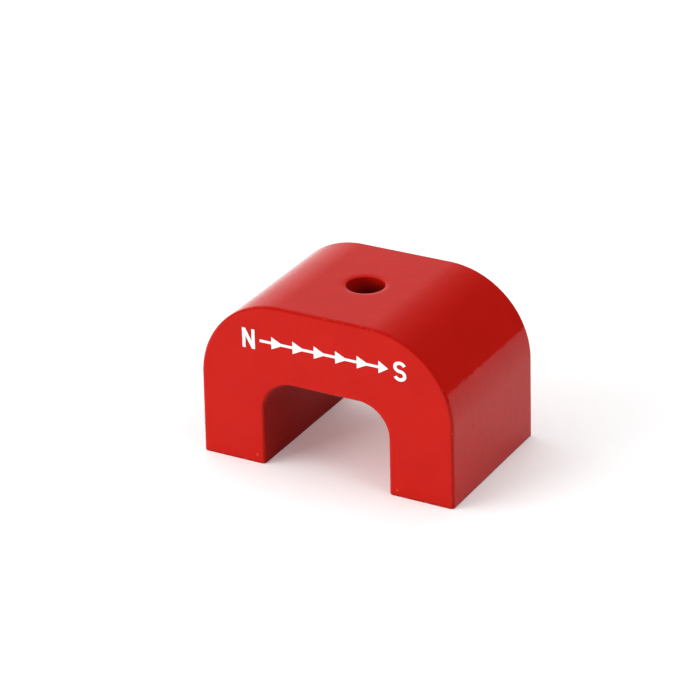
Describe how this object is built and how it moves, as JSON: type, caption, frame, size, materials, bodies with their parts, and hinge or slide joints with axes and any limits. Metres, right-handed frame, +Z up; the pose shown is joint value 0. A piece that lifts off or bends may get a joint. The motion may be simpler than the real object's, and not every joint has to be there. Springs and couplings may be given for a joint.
{
  "type": "lifting magnet",
  "caption": "Horseshoe lifting magnet: cast U-shaped block with two flat pole faces, a bolt hole through the bridge and a glossy red enamel coat.",
  "frame": {"origin": "middle of the footprint, on the plane of the two pole faces", "axes": "+X from the north pole's leg to the south pole's leg, +Y through the thickness away from the printed face, +Z up from the pole faces to the top face with the bolt hole"},
  "size_m": [0.04, 0.0251, 0.025],
  "materials": {
    "alnico": "cast aluminium-nickel-cobalt alloy, surface-ground bare on the two pole faces",
    "red_enamel": "glossy stoved red enamel over the as-cast surface",
    "white_ink": "pad-printed white ink, slightly raised"
  },
  "bodies": {
    "root": {"alnico_casting": "alnico", "enamel_coat": "red_enamel", "printed_letter_n": "white_ink", "printed_letter_s": "white_ink", "printed_flux_line": "white_ink"}
  },
  "joints": []
}
